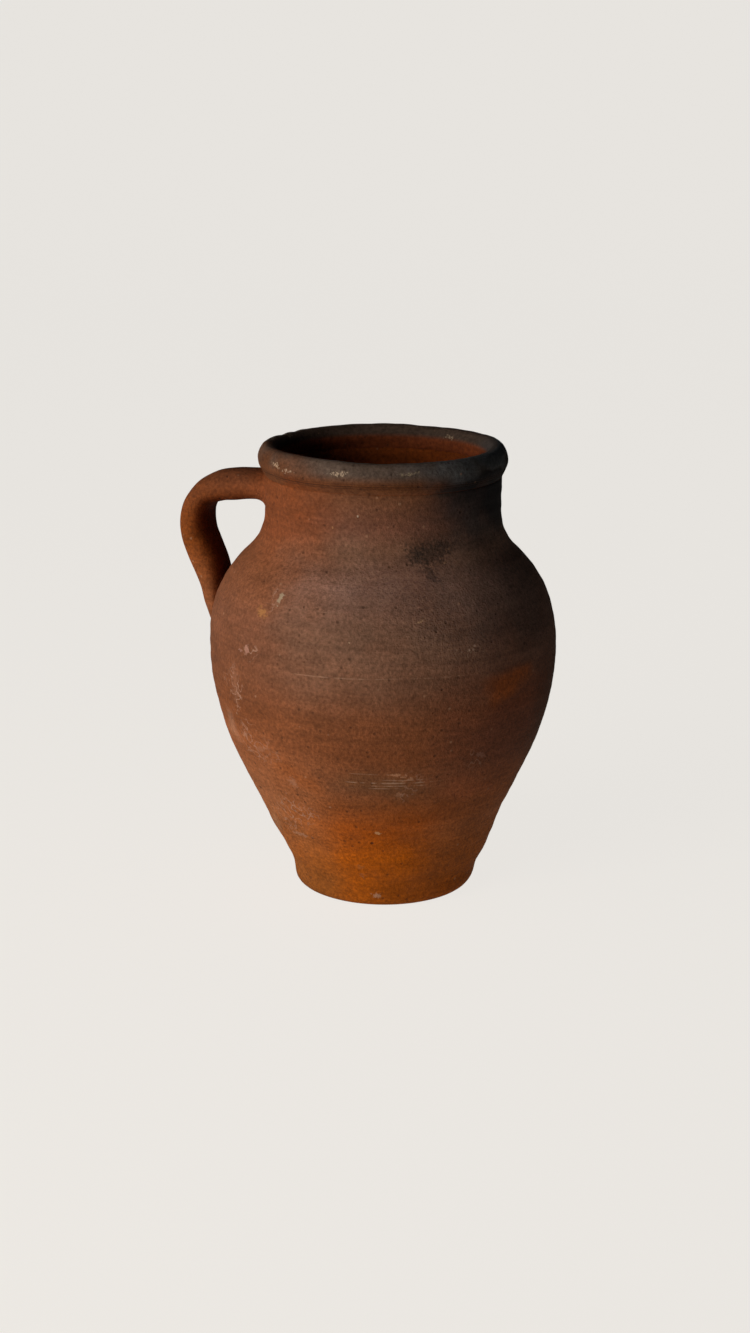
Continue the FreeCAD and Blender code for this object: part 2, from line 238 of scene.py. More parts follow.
def make_body():
    """The thrown pot: foot, belly, shoulder and neck outside, and the ridged hollow inside."""
    outside = smooth_line(OUTER, OUTSIDE_SAMPLES)[2:]
    inside = smooth_line(INNER, INSIDE_SAMPLES)[1:][::-1]
    turn = TURNS[None, :]
    radius, height = outside[:, :1], outside[:, 1:]
    on_wall = np.clip(height / (6 * MM), 0, 1)
    rise = outer_relief(turn, height) * on_wall
    hollow = FOOT_HOLLOW * np.clip(1 - (radius / HOLLOW_RADIUS) ** 2, 0, 1) ** 1.5 * (height < 1e-5)
    rough = 0.12 * MM * waves(turn, radius, 31, 12, 5, 0.012)
    under = rough * (1 - on_wall) * (radius < HOLLOW_RADIUS + 3 * MM)
    outer = spot(turn, radius + rise, height + hollow + np.abs(under))
    radius, height = inside[:, :1], inside[:, 1:]
    near_axis = np.clip(radius / 0.03, 0, 1)
    inner = spot(turn, radius - inner_relief(turn, height) * near_axis, height)
    ends = [(0, 0, FOOT_HOLLOW), (0, 0, INNER[0, 1])]
    return make_piece("jug_body", np.concatenate([outer, inner]), ends=ends), len(outer), len(inner)


RIM_SHIFT = -0.2 * MM               # how far the roll sits to the camera's right of the neck; below 0 is left
LIP_SWELL = 1.9 * MM                # the roll's inner side bulges this far over the throat
RIM_CHIPS = [
    (-52, 0.2645, 7, 0.0016, -0.7 * MM), (-22, 0.2650, 5, 0.0014, -0.6 * MM),
    (10, 0.2650, 5, 0.0012, -0.4 * MM), (-118, 0.2690, 4, 0.0016, -0.8 * MM),
    (-128, 0.2700, 3, 0.0012, -0.6 * MM), (160, 0.2700, 6, 0.0020, -0.5 * MM),
    (120, 0.2680, 4, 0.0016, -0.6 * MM), (75, 0.2640, 5, 0.0020, -0.5 * MM),
    (42, 0.2690, 3, 0.0014, -0.4 * MM),
]
RIM_ROWS = 72
TUCK, TUCK_HEIGHT = 0.8 * MM, 0.2560    # the groove under the roll
RIM_RAISE = 0.3 * MM


def rim_section():
    """The roll's section in evenly spaced rows: their radius and height, the two parts of each row's
    direction from the section's heart, and the heart's radius."""
    ring = np.array(list(facing_vertices("rim_roll", lambda *_: True)))
    heart = ring.mean(0)
    angle = np.arctan2(ring[:, 1] - heart[1], ring[:, 0] - heart[0])
    section = smooth_line(ring[angle.argsort()], RIM_ROWS, closed=True)
    away = section - section.mean(0)
    away /= np.linalg.norm(away, axis=1)[:, None]
    return section[:, :1], section[:, 1:], away[:, :1], away[:, 1:], section.mean(0)[0]


def rim_swell(turn, height, out, up):
    """How far the roll's skin stands off its section: soft lumps and chips."""
    around = np.arctan2(up, out) * 0.02
    return (0.16 * MM * waves(turn, around, 41, 9, 7, 0.05)
            + 0.10 * MM * waves(turn, around, 42, 18, 26, 0.03)
            + 0.05 * MM * waves(turn, around, 43, 26, 60, 0.02)
            + dents(turn, height, RIM_CHIPS) * (out > -0.2))


def make_rim():
    """The rolled lip. Its foot keeps to the neck's own relief, inside and out, so no step shows there."""
    radius, height, out, up, heart_radius = rim_section()
    turn = TURNS[None, :]
    above = height - NECK_TOP
    free = np.clip((above - 4 * MM) / (5 * MM), 0, 1)
    swell = rim_swell(turn, height, out, up) * free
    outside = (outer_relief(turn, np.minimum(height, NECK_TOP)) * (1 - free)
               - TUCK * np.exp(-((height - TUCK_HEIGHT) / 0.003) ** 2))
    throat = -inner_relief(turn, height) * np.clip((11 * MM - above) / (5 * MM), 0, 1)
    lip = LIP_SWELL * np.clip(-out, 0, 1) * np.clip((above - 4 * MM) / (7 * MM), 0, 1)
    rise = swell * out - lip + np.where(radius > heart_radius, outside, throat)
    lift = swell * up + (RIM_RAISE + 0.45 * MM * waves(turn, 0, 44, 4, 3, 1)) * free
    points = spot(turn, radius + rise, height + lift)
    points[..., 0] += RIM_SHIFT * math.cos(CAMERA_TURN) * free
    points[..., 1] += RIM_SHIFT * math.sin(CAMERA_TURN) * free
    return make_piece("jug_rim", points, looped=True)


# the strap's centre line from inside the neck to inside the shoulder, in millimetres:
# distance out from the axis, height, half thickness, half width
STRAP = np.array([
    (60.0, 240.4, 9.6, 17.0), (70.0, 240.8, 9.3, 16.2), (80.0, 240.9, 9.1, 15.0),
    (91.0, 240.0, 9.6, 14.6), (102.0, 238.2, 9.3, 14.8), (111.4, 233.8, 8.2, 15.0),
    (117.0, 226.0, 8.5, 15.1), (118.6, 217.6, 9.2, 15.2), (117.8, 209.0, 9.5, 15.2),
    (113.9, 199.0, 9.7, 15.2), (109.5, 188.5, 9.0, 15.3), (106.3, 178.0, 7.8, 15.6),
    (104.5, 167.5, 6.8, 15.6), (102.4, 158.0, 5.6, 14.6), (99.2, 148.5, 3.2, 12.5),
]) * MM
STRAP_FINE = smooth_line(STRAP, 600)
SQUARENESS = 2.5                    # the strap's section lies between an oval, 2, and a rounded box


def strap_at(along, around):
    """Points on the strap: along from 0 at the neck to 1 at the shoulder, around from its outer face."""
    steps = np.arange(len(STRAP_FINE))
    place = np.clip(along, 0, 1) * steps[-1]
    out, height, thick, wide = (np.interp(place, steps, column) for column in STRAP_FINE.T)
    ahead = np.gradient(STRAP_FINE[:, :2], axis=0)
    go_out, go_up = (np.interp(place, steps, column) for column in ahead.T)
    long = np.hypot(go_out, go_up)
    face_out, face_up = -go_up / long, go_out / long
    c, s = np.cos(around), np.sin(around)
    fat = (np.abs(c) ** SQUARENESS + np.abs(s) ** SQUARENESS) ** (-1 / SQUARENESS)
    flat = 1 - 0.10 * np.clip(-c, 0, 1) ** 3
    length = along * 0.14
    press = (0.20 * MM * waves(around, length, 51, 8, 3, 0.05) + 0.16 * MM * np.cos(5 * around + 3 * along)
             + 0.09 * MM * waves(around, length, 52, 18, 6, 0.012))
    across = (thick * flat + press) * fat * c
    side = (wide + press) * fat * s
    return np.stack([-(out + across * face_out), side, height + across * face_up], axis=-1)


def make_strap():
    """The pulled strap handle, both ends run into the wall."""
    along = np.linspace(0, 1, 190)[:, None]
    around = (np.arange(88) * (2 * math.pi / 88))[None, :]
    grid = strap_at(along, around)
    return make_piece("jug_handle", grid, ends=[grid[0].mean(0), grid[-1].mean(0)])


def gap(points):
    """How far points stand outside the wall, along the radius."""
    height = np.minimum(points[..., 2], NECK_TOP)
    return np.hypot(points[..., 0], points[..., 1]) - wall_radius(turn_of(points), height)


def steps_of(surface, u, v):
    """A surface's two tangents by small differences."""
    h = 1e-4
    return ((surface(u + h, v) - surface(u - h, v)) / (2 * h),
            (surface(u, v + h) - surface(u, v - h)) / (2 * h))


def unit(vectors):
    return vectors / np.linalg.norm(vectors, axis=-1, keepdims=True)


WELD_COLUMNS = 200
WELD_ROWS = 22
SINK = 0.12 * MM                    # the weld's edges run this far under the clay they join


def crease_place(around, start, stop):
    """Where along the strap its skin meets the wall, for each place round it."""
    along = np.linspace(start, stop, 500)
    clear = gap(strap_at(along[:, None], around[None, :])) > 0
    last = np.argmin(clear, axis=0)
    place = along[np.maximum(last - 1, 0)]
    for _ in range(12):
        short = np.clip(gap(strap_at(place, around)) / 0.3 / MM, -1, 1)
        place = place + (along[1] - along[0]) * short * 0.2
    return place


def up_the_strap(place, around, crease, run, reach):
    """Points on the strap's skin, reach away from the crease."""
    tangents = np.stack(steps_of(strap_at, place, around), axis=-1)
    away = unit(np.cross(run, np.cross(tangents[..., 0], tangents[..., 1])))
    away *= np.sign(np.sum(away * unit(crease * (1, 1, 0)), axis=-1, keepdims=True))
    moves = np.einsum("nij,nj->ni", np.linalg.pinv(tangents), away * reach[:, None])
    return strap_at(place + moves[:, 0], around + moves[:, 1])


def over_the_wall(crease, run, reach):
    """Points on the jug's wall, reach away from the crease."""
    away = unit(np.cross(run, unit(crease * (1, 1, 0))))
    away *= np.sign(np.sum(away * (crease - crease.mean(0)), axis=-1, keepdims=True))
    far = crease + away * reach[:, None]
    turn, height = turn_of(far), np.minimum(far[:, 2], NECK_TOP + MM)
    return spot(turn, wall_radius(turn, np.minimum(height, NECK_TOP)), height)


def make_weld(name, start, stop, spread, climb):
    """Clay smoothed into the corner between strap and wall, all the way round the strap's root.
    start to stop is the stretch of strap that goes from clear air into the wall. spread and climb say
    how far the clay reaches over the wall and up the strap, by the place round the strap."""
    around = np.arange(WELD_COLUMNS) * (2 * math.pi / WELD_COLUMNS)
    place = crease_place(around, start, stop)
    crease = strap_at(place, around)
    outward = unit(crease * (1, 1, 0))
    run = unit(np.roll(crease, -1, axis=0) - np.roll(crease, 1, axis=0))
    on_strap = up_the_strap(place, around, crease, run, climb(around))
    on_wall = over_the_wall(crease, run, spread(around))
    t = np.linspace(0, 1, WELD_ROWS)[:, None, None]
    skin = (1 - t) ** 2 * on_wall + 2 * t * (1 - t) * crease + t**2 * on_strap
    arch = np.sin(math.pi * t)
    lumps = 0.10 * MM * waves(around, t[..., 0] * 0.01, 61, 14, 9, 0.008)[..., None] * arch
    skin = skin + outward * lumps - outward * SINK * (1 - arch) ** 6
    axis = STRAP_FINE[(np.clip(place, 0, 1) * (len(STRAP_FINE) - 1)).astype(int)]
    core = np.stack([-axis[:, 0], 0 * place, axis[:, 1]], axis=-1)
    depth = outward * 2.5 * MM
    hidden = [on_strap + (core - on_strap) * 0.3, crease - depth + (core - crease) * 0.15, on_wall - depth]
    return make_piece(name, np.concatenate([skin, hidden]), looped=True)


def upper_spread(around):
    return (5.4 - 3.6 * np.cos(around) + 2.0 * np.sin(around) ** 2) * MM


def upper_climb(around):
    return (5.4 - 3.1 * np.cos(around) + 1.5 * np.sin(around) ** 2) * MM


def lower_spread(around):
    return (5.0 + 2.5 * np.cos(around) ** 2 + 1.5 * np.clip(np.cos(around), 0, 1)) * MM


def lower_climb(around):
    return (3.5 + 2.0 * np.cos(around) ** 2) * MM


# ---------------------------------------------------------------- nodes

class Clay:
    """A fired-clay material's node tree, and short calls that fill it."""

    def __init__(self, name):
        self.material = bpy.data.materials.new(name)
        self.material.use_nodes = True
        self.tree = self.material.node_tree
        self.tree.nodes.clear()
        self.point = self.node("TexCoord").outputs["Object"]
        self.x, self.y, self.z = self.node("SeparateXYZ", {0: self.point}).outputs
        flat = self.node("CombineXYZ", {0: self.x, 1: self.y}).outputs[0]
        self.radius = self.node("VectorMath", {0: flat}, operation="LENGTH").outputs["Value"]
        self.torn = self.noise(620, 3, 0.65)
        curl = self.math("ABSOLUTE", self.math("SUBTRACT", self.noise(150, 2, 0.5, seed=3.3), 0.5))
        self.wisps = self.mapped(curl, 0.034, 0.006)
        self.drift = self.shifted(34, 0.020, 2)
        self.ragged = self.shifted(300, 0.0022, 3)

    def node(self, kind, values=None, **settings):
        made = self.tree.nodes.new("ShaderNode" + kind)
        for key, value in settings.items():
            setattr(made, key, value)
        for key, value in (values or {}).items():
            if isinstance(value, bpy.types.NodeSocket):
                self.tree.links.new(value, made.inputs[key])
            else:
                made.inputs[key].default_value = value
        return made

    def math(self, operation, a, b=0.0):
        return self.node("Math", {0: a, 1: b}, operation=operation).outputs[0]

    def mapped(self, value, low, high, to_low=0.0, to_high=1.0, smooth=True):
        kind = "SMOOTHSTEP" if smooth else "LINEAR"
        return self.node("MapRange", {0: value, 1: low, 2: high, 3: to_low, 4: to_high},
                         interpolation_type=kind, clamp=True).outputs[0]

    def noise(self, scale, detail=2, rough=0.55, stretch=(1, 1, 1), seed=0.0):
        """Noise of that many cells a metre, from about 0.3 to 0.7. seed moves it, stretch squeezes it."""
        at = self.node("Mapping", {0: self.point, 1: (seed, seed, seed), 3: stretch}).outputs[0]
        settings = {"Vector": at, "Scale": scale, "Detail": detail, "Roughness": rough}
        return self.node("TexNoise", settings).outputs[0]

    def shifted(self, scale, amount, detail):
        """The point moved about by noise, so that the zones placed with it have natural edges."""
        settings = {"Vector": self.point, "Scale": scale, "Detail": detail}
        colour = self.node("TexNoise", settings).outputs["Color"]
        centred = self.node("VectorMath", {0: colour, 1: (0.5, 0.5, 0.5)}, operation="SUBTRACT").outputs[0]
        grown = self.node("VectorMath", {0: centred, "Scale": 2 * amount}, operation="SCALE").outputs[0]
        return self.node("VectorMath", {0: self.point, 1: grown}, operation="ADD").outputs[0]

    def mix(self, amount, a, b, blend="MIX"):
        return self.node("Mix", {0: amount, 6: a, 7: b}, data_type="RGBA", blend_type=blend).outputs[2]

    def ramp(self, value, stops):
        node = self.node("ValToRGB", {0: value})
        marks = node.color_ramp.elements
        while len(marks) < len(stops):
            marks.new(0.5)
        for mark, (place, colour) in zip(marks, stops):
            mark.position, mark.color = place, (*colour, 1)
        return node.outputs[0]

    def nearness(self, point, degrees, height, tilt, width, depth, tall):
        """1 at the middle of an ellipsoid on the outside, 0.5 on its skin and 0 at twice its size and beyond.
        Its middle is given by degrees from the camera's side and height, its size by half sizes in metres.
        A gradient node measures it: vector-length nodes for all the marks are too much for one shader."""
        turn = math.radians(degrees) + CAMERA_TURN
        radius = float(outer_radius(height))
        at = (radius * math.sin(turn), -radius * math.cos(turn), height)
        turned, doubled = (0, math.radians(tilt), turn), (2 * width, 2 * depth, 2 * tall)
        local = self.node("Mapping", {0: point, 1: at, 2: turned, 3: doubled}, vector_type="TEXTURE")
        return self.node("TexGradient", {0: local.outputs[0]}, gradient_type="SPHERICAL").outputs["Fac"]

    def patch(self, degrees, height, width, tall, soft=0.6, tilt=0.0, rag=0.0, fine=False, depth=0.035):
        """A mask over one oval place: soft is the share of it that fades, rag tears its edge."""
        point = self.ragged if fine else self.drift
        near = self.nearness(point, degrees, height, tilt, width, depth, tall)
        if rag:
            tear = self.math("MULTIPLY", self.math("SUBTRACT", self.torn, 0.5), rag / 2)
            near = self.math("SUBTRACT", near, tear)
        return self.mapped(near, 0.5, 0.5 + soft / 2)

    def stain(self, mask, strength, colour, tint):
        """The colour with a tint laid over it where the mask is."""
        return self.mix(self.math("MULTIPLY", mask, strength), colour, (*tint, 1.0))

    def shade(self, colour, value, low, high, dark, bright):
        """The colour made darker where a noise is low and brighter where it is high."""
        tone = self.mapped(value, low, high, dark, bright, smooth=False)
        grey = self.node("CombineColor", {0: tone, 1: tone, 2: tone}).outputs[0]
        return self.mix(1.0, colour, grey, "MULTIPLY")

    def lit(self, colour, roughness, height):
        """Ends the tree: a rough dielectric whose bump height is in millimetres."""
        bump = self.node("Bump", {"Strength": 1.0, "Distance": MM, "Height": height}).outputs[0]
        shader = self.node("BsdfPrincipled", {"Base Color": colour, "Roughness": roughness, "Normal": bump,
                                              "Specular IOR Level": 0.10, "IOR": 1.5})
        self.node("OutputMaterial", {"Surface": shader.outputs[0]})
        return self.material


def rgb(*values):
    return (*values, 1.0)


# fired colour up the jug on its left, front and right as the camera sees it: height in metres, colour
LEFT_COLOURS = [
    (0.005, (0.245, 0.080, 0.014)), (0.030, (0.325, 0.106, 0.024)), (0.064, (0.310, 0.120, 0.052)),
    (0.100, (0.300, 0.106, 0.044)), (0.124, (0.215, 0.074, 0.030)), (0.148, (0.198, 0.077, 0.039)),
    (0.180, (0.213, 0.088, 0.050)), (0.206, (0.255, 0.097, 0.046)), (0.224, (0.215, 0.066, 0.026)),
    (0.250, (0.205, 0.061, 0.021)), (0.257, (0.150, 0.042, 0.013)),
]
FRONT_COLOURS = [
    (0.005, (0.370, 0.094, 0.006)), (0.034, (0.455, 0.110, 0.005)), (0.058, (0.385, 0.090, 0.008)),
    (0.074, (0.248, 0.080, 0.026)), (0.086, (0.238, 0.092, 0.042)), (0.108, (0.228, 0.078, 0.031)),
    (0.128, (0.226, 0.083, 0.037)), (0.152, (0.226, 0.112, 0.071)), (0.178, (0.230, 0.131, 0.092)),
    (0.204, (0.280, 0.163, 0.132)), (0.220, (0.236, 0.128, 0.086)), (0.234, (0.200, 0.090, 0.060)),
    (0.250, (0.188, 0.081, 0.043)), (0.257, (0.140, 0.052, 0.020)),
]
RIGHT_COLOURS = [
    (0.005, (0.365, 0.092, 0.008)), (0.034, (0.385, 0.116, 0.026)), (0.052, (0.385, 0.130, 0.046)),
    (0.078, (0.300, 0.100, 0.040)), (0.100, (0.215, 0.080, 0.046)), (0.120, (0.190, 0.070, 0.043)),
    (0.134, (0.205, 0.068, 0.035)), (0.160, (0.190, 0.098, 0.070)), (0.176, (0.170, 0.104, 0.087)),
    (0.204, (0.290, 0.182, 0.150)), (0.216, (0.290, 0.180, 0.140)), (0.228, (0.110, 0.082, 0.076)),
    (0.246, (0.040, 0.037, 0.042)), (0.256, (0.019, 0.017, 0.021)),
]
TOP_HEIGHT = 0.27
STRAP_COLOURS = [
    (0.135, (0.225, 0.085, 0.040)), (0.165, (0.235, 0.086, 0.038)), (0.185, (0.240, 0.078, 0.026)),
    (0.205, (0.220, 0.060, 0.011)), (0.225, (0.205, 0.056, 0.012)), (0.240, (0.205, 0.064, 0.023)),
    (0.252, (0.200, 0.072, 0.034)),
]
SEAM_LINES = ((0.2570, 0.30), (0.2558, 0.20), (0.2584, 0.14))   # under the rim: metres up, mm deep
WHEEL_RING = 0.0042                 # from ring to ring under the foot

# broad kiln colours, with painted shade on the belly's right and a painted highlight on the far left edge:
# degrees, height, half width, half height, colour, strength, softness
KILN_AND_PAINTED_LIGHT_ZONES = [
    (0, 0.088, 0.034, 0.015, (0.145, 0.070, 0.034), 0.55, 0.80),
    (-34, 0.088, 0.024, 0.016, (0.345, 0.104, 0.030), 0.60, 0.90),
    (34, 0.080, 0.022, 0.014, (0.345, 0.108, 0.046), 0.60, 0.90),
    (44, 0.148, 0.026, 0.014, (0.330, 0.090, 0.022), 0.85, 0.80),
    # painted shade: the belly's right, where the lamps fall off, darkened to about a third; partly also kiln
    # smoke
    (80, 0.125, 0.052, 0.075, (0.075, 0.034, 0.022), 0.85, 0.85),
    # partly pale dust, partly a painted highlight: the far left edge, where the lamps graze it
    (-64, 0.045, 0.014, 0.010, (0.360, 0.190, 0.110), 0.60, 0.90),
    (-64, 0.112, 0.012, 0.012, (0.380, 0.200, 0.130), 0.55, 0.90),
    (130, 0.100, 0.075, 0.055, (0.250, 0.085, 0.036), 0.70, 0.90),
    (-125, 0.110, 0.060, 0.045, (0.300, 0.100, 0.036), 0.60, 0.90),
    (-165, 0.060, 0.060, 0.040, (0.380, 0.106, 0.020), 0.65, 0.90),
]

# soot: degrees, height, half width, half height, strength, softness, tilt
SOOT_COLOUR, SMUDGE_COLOUR = (0.022, 0.023, 0.028), (0.034, 0.028, 0.026)
SOOT = [
    (68, 0.245, 0.033, 0.026, 0.94, 0.70, 0), (98, 0.243, 0.044, 0.030, 0.90, 0.80, 0),
    (50, 0.2590, 0.030, 0.0085, 0.85, 0.80, 0), (125, 0.246, 0.050, 0.026, 0.70, 0.90, 0),
]
SOOT_MARKS = [
    (21, 0.2190, 0.0180, 0.0105, 0.72, 0.90, 0), (15, 0.2185, 0.0085, 0.0070, 0.62, 0.85, 0),
    (28, 0.2215, 0.0100, 0.0060, 0.50, 0.90, 10), (20, 0.2085, 0.0040, 0.0100, 0.60, 0.85, -36),
    (29, 0.2525, 0.0110, 0.0034, 0.75, 0.80, -6), (40, 0.2480, 0.0130, 0.0050, 0.60, 0.90, 0),
    (24, 0.2380, 0.0110, 0.0035, 0.18, 0.90, 0),
]

# small pale, pink and ochre marks: degrees, height, half width, half height, tilt, colour, strength, rag
PALE_MARKS = [
    (-39, 0.1935, 0.0020, 0.0042, 18, (0.45, 0.37, 0.27), 0.85, 2.2),
    (-45, 0.1850, 0.0050, 0.0030, 8, (0.46, 0.22, 0.08), 0.75, 2.6),
    (-49, 0.1630, 0.0022, 0.0036, 0, (0.44, 0.24, 0.19), 0.75, 2.4),
    (-52, 0.1610, 0.0030, 0.0010, 0, (0.44, 0.24, 0.19), 0.50, 2.0),
    (-56, 0.1380, 0.0045, 0.0150, 6, (0.40, 0.22, 0.15), 0.22, 2.6),
    (-48, 0.1020, 0.0036, 0.0020, 10, (0.42, 0.24, 0.17), 0.25, 2.6),
    (-55, 0.1080, 0.0020, 0.0042, 20, (0.42, 0.24, 0.17), 0.35, 2.4),
    (-12, 0.2400, 0.0007, 0.0006, 0, (0.60, 0.52, 0.42), 0.90, 0.5),
    (-25, 0.2330, 0.0009, 0.0006, 0, (0.44, 0.22, 0.10), 0.70, 0.8),
    (12, 0.1860, 0.0032, 0.0008, -16, (0.48, 0.30, 0.19), 0.85, 1.4),
    (-11, 0.1755, 0.0011, 0.0006, 20, (0.50, 0.35, 0.24), 0.80, 1.0),
    (5, 0.0962, 0.0052, 0.0015, 4, (0.52, 0.26, 0.15), 0.80, 2.8),
    (9, 0.0930, 0.0036, 0.0012, -10, (0.48, 0.24, 0.14), 0.70, 2.8),
    (6, 0.0825, 0.0030, 0.0016, 0, (0.46, 0.23, 0.14), 0.45, 2.8),
    (-2, 0.0545, 0.0022, 0.0012, 20, (0.56, 0.32, 0.16), 0.80, 2.2),
    (-3, 0.0085, 0.0030, 0.0022, 0, (0.52, 0.31, 0.22), 0.70, 2.4),
    (-12, 0.0280, 0.0030, 0.0020, 0, (0.46, 0.20, 0.08), 0.25, 2.8),
    (36, 0.1040, 0.0040, 0.0018, 30, (0.32, 0.17, 0.13), 0.50, 2.6),
    (-43, 0.0450, 0.0090, 0.0012, 0, (0.44, 0.25, 0.17), 0.45, 2.2),
    (-36, 0.0840, 0.0040, 0.0040, 0, (0.42, 0.24, 0.17), 0.35, 2.8),
    (-150, 0.1500, 0.0050, 0.0030, 15, (0.44, 0.28, 0.20), 0.60, 2.6),
    (140, 0.1900, 0.0040, 0.0050, 10, (0.42, 0.28, 0.20), 0.60, 2.6),
    (120, 0.0800, 0.0070, 0.0020, 0, (0.44, 0.25, 0.16), 0.55, 2.6),
    (-170, 0.0650, 0.0030, 0.0050, -20, (0.44, 0.24, 0.15), 0.55, 2.6),
]

# curled scuffs: degrees, height, half width, half height, strength
SCUFFS = [
    (-57, 0.136, 0.012, 0.018, 0.75), (-52, 0.106, 0.015, 0.013, 0.50), (-42, 0.098, 0.010, 0.008, 0.30),
    (-44, 0.060, 0.016, 0.020, 0.55), (-47, 0.163, 0.007, 0.006, 0.70), (26, 0.168, 0.010, 0.006, 0.60),
    (10, 0.094, 0.018, 0.010, 0.35), (8, 0.083, 0.006, 0.004, 0.45), (36, 0.102, 0.012, 0.008, 0.40),
    (-12, 0.024, 0.006, 0.004, 0.20), (-40, 0.192, 0.006, 0.008, 0.55), (-140, 0.110, 0.022, 0.022, 0.25),
    (150, 0.080, 0.022, 0.020, 0.25), (110, 0.170, 0.020, 0.020, 0.40),
]

# thin horizontal scratches: degrees, height, half width, half height, tilt, strength
SCRATCHES = [
    (-14, 0.1552, 0.033, 0.00045, -0.6, 0.60), (14, 0.1556, 0.030, 0.00040, 0.5, 0.35),
    (4, 0.0905, 0.034, 0.00065, 0, 0.85), (6, 0.0885, 0.026, 0.00050, 0, 0.60),
    (0, 0.0868, 0.022, 0.00045, 0, 0.50), (8, 0.0925, 0.018, 0.00045, 0, 0.50),
    (-4, 0.0965, 0.015, 0.00040, 0, 0.40), (-30, 0.1900, 0.030, 0.00040, 0, 0.25),
    (150, 0.1300, 0.030, 0.00045, 1, 0.40), (-150, 0.1000, 0.028, 0.00045, -1, 0.40),
]

# crumbs of lime on the rim, as the pale marks are given
LIME_CHIPS = [
    (-57, 0.2640, 0.0050, 0.0014, 14, (0.52, 0.38, 0.27), 0.85, 3.6),
    (-48, 0.2622, 0.0054, 0.0012, 2, (0.50, 0.37, 0.27), 0.80, 3.6),
    (-21, 0.2645, 0.0056, 0.0015, -6, (0.53, 0.42, 0.32), 0.85, 3.6),
    (11, 0.2650, 0.0075, 0.0010, -4, (0.40, 0.32, 0.22), 0.60, 3.0),
    (-118, 0.2690, 0.0030, 0.0016, 0, (0.34, 0.27, 0.20), 0.55, 2.6),
    (140, 0.2660, 0.0050, 0.0016, 0, (0.44, 0.34, 0.24), 0.60, 2.8),
]


def speckle(clay, scale, share, size, seed):
    """Round specks: only that share of the cells has one."""
    moved = clay.node("Mapping", {0: clay.point, 1: (seed, seed, seed)}).outputs[0]
    cells = clay.node("TexVoronoi", {"Vector": moved, "Scale": scale, "Randomness": 1.0})
    pick = clay.node("SeparateColor", {0: cells.outputs["Color"]}).outputs[0]
    chosen = clay.math("LESS_THAN", pick, share)
    return clay.math("MULTIPLY", clay.mapped(cells.outputs["Distance"], size, size * 0.35), chosen)


def grain(clay):
    """Bump height in millimetres, and the noises and specks that also tint the clay."""
    skin = {
        "streaks": clay.noise(1.0, 3, 0.6, stretch=(16, 16, 620)),
        "broad": clay.noise(1.0, 2, 0.5, stretch=(9, 9, 190), seed=3.1),
        "coarse": clay.noise(520, 4, 0.62),
        "fine": clay.noise(1900, 2, 0.6),
        "sandy": clay.noise(1000, 3, 0.6, seed=1.3),
        "pits": speckle(clay, 230, 0.16, 0.27, 1.7),
        "holes": speckle(clay, 95, 0.05, 0.13, 5.3),
        "grit": speckle(clay, 170, 0.10, 0.20, 9.1),
    }
    height = clay.math("MULTIPLY", skin["coarse"], 0.55)
    for part, amount in (("fine", 0.14), ("sandy", 0.36), ("streaks", 0.14), ("broad", 0.14),
                         ("pits", -0.28), ("holes", -0.5), ("grit", 0.16)):
        height = clay.math("ADD", height, clay.math("MULTIPLY", skin[part], amount))
    return height, skin


def place_up(clay, scale, waver):
    """Height as a share of the jug's, made to waver so that the colours don't lie in level bands."""
    centred = clay.math("SUBTRACT", clay.noise(scale, 3, 0.6, seed=8.8), 0.5)
    return clay.math("DIVIDE", clay.math("ADD", clay.z, clay.math("MULTIPLY", centred, waver)), TOP_HEIGHT)


def colour_up(clay, place, stops):
    return clay.ramp(place, [(height / TOP_HEIGHT, colour) for height, colour in stops])


def fired(clay):
    """The fired colour up the jug, blended round it from its left through its front to its right."""
    to_right = (math.cos(CAMERA_TURN), math.sin(CAMERA_TURN), 0)
    across = clay.node("VectorMath", {0: clay.drift, 1: to_right}, operation="DOT_PRODUCT").outputs["Value"]
    side = clay.math("DIVIDE", across, clay.radius)
    place = place_up(clay, 30, 0.016)
    left, front, right = (colour_up(clay, place, stops)
                          for stops in (LEFT_COLOURS, FRONT_COLOURS, RIGHT_COLOURS))
    colour = clay.mix(clay.mapped(side, -0.82, -0.22), left, front)
    colour = clay.mix(clay.mapped(side, 0.12, 0.78), colour, right)
    mottle = clay.mapped(clay.noise(42, 4, 0.6, seed=2.2), 0.40, 0.72)
    return clay.stain(mottle, 0.22, colour, (0.200, 0.074, 0.036))


def weathered(clay, colour, skin):
    """Grain, streaks, dark pits and pale grit over a colour."""
    blotch = clay.noise(1.0, 4, 0.65, stretch=(38, 38, 110), seed=7.7)
    colour = clay.shade(colour, skin["coarse"], 0.32, 0.68, 0.68, 1.32)
    colour = clay.shade(colour, skin["streaks"], 0.30, 0.70, 0.91, 1.09)
    colour = clay.shade(colour, skin["broad"], 0.30, 0.70, 0.94, 1.06)
    colour = clay.shade(colour, blotch, 0.34, 0.66, 0.86, 1.14)
    colour = clay.stain(skin["pits"], 0.50, colour, (0.045, 0.022, 0.014))
    colour = clay.stain(skin["holes"], 0.80, colour, (0.030, 0.016, 0.012))
    return clay.stain(skin["grit"], 0.45, colour, (0.46, 0.27, 0.17))


def kiln_colour_and_painted_light(clay):
    """The fired colour under the kiln's smoke and flame marks, with painted shade on the belly's right and a
    painted highlight on the far left edge.
    """
    colour = fired(clay)
    for degrees, height, width, tall, tint, strength, soft in KILN_AND_PAINTED_LIGHT_ZONES:
        mask = clay.patch(degrees, height, width, tall, soft, depth=0.06)
        colour = clay.stain(mask, strength, colour, tint)
    return colour


